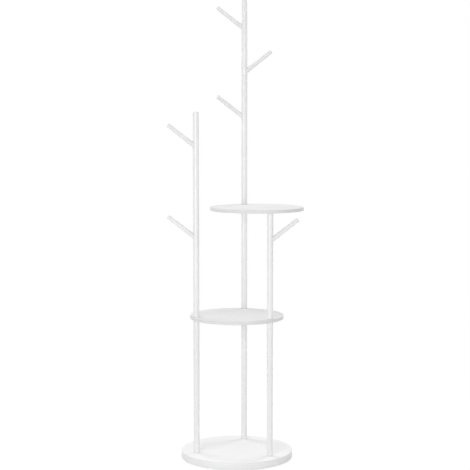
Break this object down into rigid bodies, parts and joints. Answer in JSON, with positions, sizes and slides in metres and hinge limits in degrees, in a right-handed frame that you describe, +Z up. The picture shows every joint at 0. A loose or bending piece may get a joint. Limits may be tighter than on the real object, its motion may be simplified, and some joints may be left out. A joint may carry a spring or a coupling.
{
  "type": "hall tree with shelves",
  "caption": "Free-standing white hall tree: a round base and two round shelves on turned posts of stepped height, with upward-sloping coat pegs.",
  "frame": {"origin": "on the floor under the middle of the round base board", "axes": "+Z up along the posts; +X to the right along the pegs as seen from the front; -Y to the front, so the tall post stands at the back"},
  "size_m": [0.4929, 0.406, 1.6728],
  "materials": {
    "board_lacquer": "white satin lacquer on fibreboard, smooth with a very fine spray texture",
    "post_lacquer": "white satin lacquer on turned hardwood, faint lengthwise grain",
    "peg_lacquer": "white satin lacquer on turned hardwood, faint lengthwise grain",
    "insert_steel": "yellowish zinc plating",
    "bolt_steel": "bright zinc plating",
    "pad_felt": "pressed grey felt"
  },
  "bodies": {
    "root": {"base_board": "board_lacquer", "middle_shelf": "board_lacquer", "upper_shelf": "board_lacquer", "tall_post_lower": "post_lacquer", "left_post_lower": "post_lacquer", "right_post_lower": "post_lacquer", "tall_post_middle": "post_lacquer", "right_post_upper": "post_lacquer", "tall_post_upper": "post_lacquer", "left_post_upper": "post_lacquer", "tall_peg_top": "peg_lacquer", "tall_peg_middle": "peg_lacquer", "tall_peg_bottom": "peg_lacquer", "left_peg_top": "peg_lacquer", "left_peg_bottom": "peg_lacquer", "right_peg": "peg_lacquer", "tall_post_lower_foot_insert": "insert_steel", "tall_post_lower_head_insert": "insert_steel", "left_post_lower_foot_insert": "insert_steel", "left_post_lower_head_insert": "insert_steel", "right_post_lower_foot_insert": "insert_steel", "right_post_lower_head_insert": "insert_steel", "tall_post_middle_foot_insert": "insert_steel", "tall_post_middle_head_insert": "insert_steel", "right_post_upper_foot_insert": "insert_steel", "right_post_upper_head_insert": "insert_steel", "tall_post_upper_foot_insert": "insert_steel", "left_post_upper_foot_insert": "insert_steel", "upper_shelf_insert": "insert_steel", "tall_peg_top_insert": "insert_steel", "tall_peg_middle_insert": "insert_steel", "tall_peg_bottom_insert": "insert_steel", "left_peg_top_insert": "insert_steel", "left_peg_bottom_insert": "insert_steel", "right_peg_insert": "insert_steel", "tall_middle_shelf_stud": "bolt_steel", "left_middle_shelf_stud": "bolt_steel", "right_middle_shelf_stud": "bolt_steel", "tall_upper_shelf_stud": "bolt_steel", "right_upper_shelf_stud": "bolt_steel", "tall_peg_top_bolt": "bolt_steel", "tall_peg_middle_bolt": "bolt_steel", "tall_peg_bottom_bolt": "bolt_steel", "left_peg_top_bolt": "bolt_steel", "left_peg_bottom_bolt": "bolt_steel", "right_peg_bolt": "bolt_steel", "tall_base_bolt": "bolt_steel", "left_base_bolt": "bolt_steel", "right_base_bolt": "bolt_steel", "tall_base_washer": "bolt_steel", "left_base_washer": "bolt_steel", "right_base_washer": "bolt_steel", "foot_pad_1": "pad_felt", "foot_pad_2": "pad_felt", "foot_pad_3": "pad_felt", "foot_pad_4": "pad_felt", "foot_pad_5": "pad_felt", "foot_pad_6": "pad_felt"}
  },
  "joints": []
}
